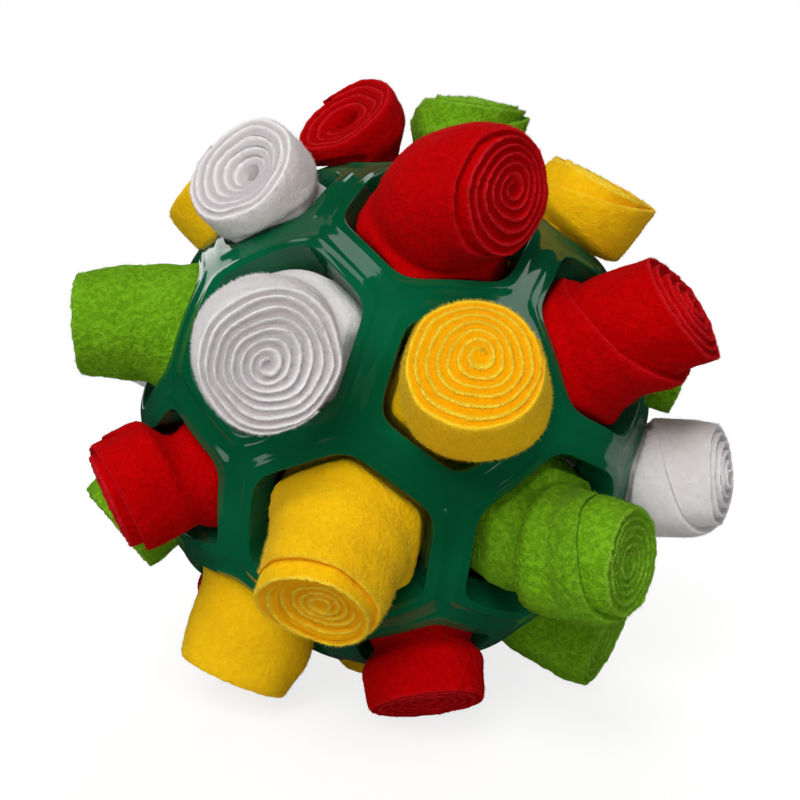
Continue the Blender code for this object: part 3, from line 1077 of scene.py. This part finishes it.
@dataclass
class Studio:
    """The camera, the soft lights and the pale floor.

    A lamp has a name, a place from the ball's centre, a side and a power in watts. A window shows
    in the rubber's gloss: it has its direction to the right, upwards and towards the camera, and a
    side. The floor's shadow is kept within the near range and fades out towards the far one.
    """

    distance: float = 195.8 * MM
    lens: float = 39.09
    sensor: float = 36
    shift: tuple[float, float] = (5.32 / 800, 11.43 / 800)
    daylight: float = 0.13
    glint: float = 0.02
    window_distance: float = 0.7
    window_glow: float = 2.2
    lamps: tuple[tuple[str, tuple[float, float, float], float, float], ...] = (
        ("key", (-0.28, -0.50, 0.52), 0.50, 4.6),
        ("fill", (-0.10, -0.62, -0.14), 0.36, 3.0),
        ("back", (0.15, 0.72, 0.34), 0.50, 4.2),
    )
    floor_size: float = 12
    floor_range: tuple[float, float] = (0.12, 0.45)
    floor_shadow: float = 0.6
    windows: tuple[tuple[float, float, float, float], ...] = (
        (-0.31, 0.87, 0.38, 0.34),
        (0.74, 0.63, 0.22, 0.32),
        (-0.69, 0.49, -0.54, 0.32),
        (0.62, -0.35, 0.70, 0.08),
        (-0.85, -0.1, 0.5, 0.12),
        (0.2, 0.85, -0.5, 0.36),
    )

    def set_camera(self) -> None:
        """Puts the camera where the photograph was taken from."""
        data = bpy.data.cameras.new("camera")
        data.lens, data.sensor_width = self.lens, self.sensor
        data.shift_x, data.shift_y = self.shift
        data.clip_start = 1 * MM
        camera = bpy.data.objects.new("camera", data)
        bpy.context.scene.collection.objects.link(camera)
        back = TOWARDS_CAMERA.normalized()
        turn = Matrix((CAMERA_RIGHT, CAMERA_UP, back)).transposed()
        camera.matrix_world = Matrix.LocRotScale(
            UP * CENTRE_HEIGHT + back * self.distance, turn.to_quaternion(), None
        )
        bpy.context.scene.camera = camera

    def add_lamp(
        self, name: str, place: Vector, side: float, power: float, mirrored: bool = False
    ) -> None:
        """A square lamp that faces the ball.

        Args:
            name: The lamp's name.
            place: Where it hangs, from the ball's centre.
            side: The length of its side.
            power: Its power in watts.
            mirrored: Whether it shows in the rubber's gloss.
        """
        data = bpy.data.lights.new(name, "AREA")
        data.size, data.energy = side, power
        lamp = bpy.data.objects.new(name, data)
        lamp.visible_glossy = mirrored
        lamp.visible_diffuse = not mirrored
        lamp.matrix_world = Matrix.LocRotScale(
            UP * CENTRE_HEIGHT + place, place.to_track_quat("Z", "Y"), None
        )
        bpy.context.scene.collection.objects.link(lamp)

    def light(self) -> None:
        """Hangs the lamps and sets the daylight, which the camera sees as white."""
        for name, spot, side, power in self.lamps:
            self.add_lamp(name, Vector(spot), side, power)
        up, right, near = CAMERA_UP, CAMERA_RIGHT, TOWARDS_CAMERA
        for number, (aside, height, depth, side) in enumerate(self.windows):
            place = right * aside + up * height + near * depth
            power = self.window_glow * side**2 * math.pi
            self.add_lamp(f"window_{number}", place * self.window_distance, side, power, True)
        world = bpy.data.worlds.new("daylight")
        world.use_nodes = True
        tree = world.node_tree
        path = tree.nodes.new("ShaderNodeLightPath")
        shown = tree.nodes["Background"]
        shown.inputs["Color"].default_value = (1, 1, 1, 1)
        shown.inputs["Strength"].default_value = self.daylight
        for ray, strength in (("Is Glossy Ray", self.glint), ("Is Camera Ray", 1.0)):
            other = tree.nodes.new("ShaderNodeBackground")
            other.inputs["Color"].default_value = (1, 1, 1, 1)
            other.inputs["Strength"].default_value = strength
            mix = tree.nodes.new("ShaderNodeMixShader")
            tree.links.new(path.outputs[ray], mix.inputs[0])
            tree.links.new(shown.outputs[0], mix.inputs[1])
            tree.links.new(other.outputs[0], mix.inputs[2])
            shown = mix
        tree.links.new(shown.outputs[0], tree.nodes["World Output"].inputs[0])
        bpy.context.scene.world = world
        bpy.context.scene.view_settings.view_transform = "Standard"

    def lay_floor(self) -> None:
        """Lays a white floor that keeps a soft shadow near the ball and fades to white."""
        bpy.ops.mesh.primitive_plane_add(size=self.floor_size)
        floor = bpy.context.object
        floor.name = "floor"
        paint = Paint("white_floor")
        tree = paint.tree
        far = paint.node(
            "ShaderNodeVectorMath", {"operation": "LENGTH"}, {0: paint.place()}, "Value"
        )
        near = 1 - paint.spread(far, *self.floor_range)
        camera_ray = paint.node("ShaderNodeLightPath", output="Is Camera Ray")
        paint.dress({"Base Color": (0.5, 0.5, 0.5, 1), "Roughness": 0.9, "Specular IOR Level": 0.0})
        glow = paint.node("ShaderNodeEmission", {}, {"Color": (1, 1, 1, 1), "Strength": near + 1})
        share = camera_ray * (1 - near * self.floor_shadow)
        mixed = paint.node(
            "ShaderNodeMixShader", {},
            {0: share, 1: Signal(paint, paint.surface.outputs[0]), 2: glow},
        )
        tree.links.new(mixed.socket, tree.nodes["Material Output"].inputs["Surface"])
        floor.data.materials.append(paint.material)
        floor.visible_glossy = False


def main() -> None:
    """Makes the stage and every piece of the toy."""
    studio = Studio()
    studio.set_camera()
    studio.light()
    bpy.ops.object.select_all(action="DESELECT")
    studio.lay_floor()
    axes = {joint["name"]: Vector(joint["axis"]).normalized() for joint in frame["joints"]}
    directions: list[Vector] = []
    for axis in axes.values():
        if all(axis.angle(other) > Hole.SAME for other in directions):
            directions.append(axis)
    holes = [Hole.among(axis, directions) for axis in directions]
    ball = RubberBall()
    honeycomb = ball.build(holes)
    ball.dress(honeycomb, RubberFinish().material())
    LOG.info("%s: %d faces", honeycomb.name, len(honeycomb.data.polygons))
    fleeces = {fleece: fleece.value.material() for fleece in Fleece}
    for index, roll in enumerate(ROLLS):
        axis = axes[f"{roll.place}_pull"]
        roll.settle(min(holes, key=lambda hole: hole.axis.angle(axis)), float(index))
        strip = roll.build()
        roll.dress(strip, fleeces[roll.fleece])
        faces = len(strip.data.polygons)
        LOG.info("%s: %d faces, %.0f mm long", strip.name, faces, roll.strip / MM)


if __name__ == "__main__":
    logging.basicConfig(level=logging.INFO)
    main()
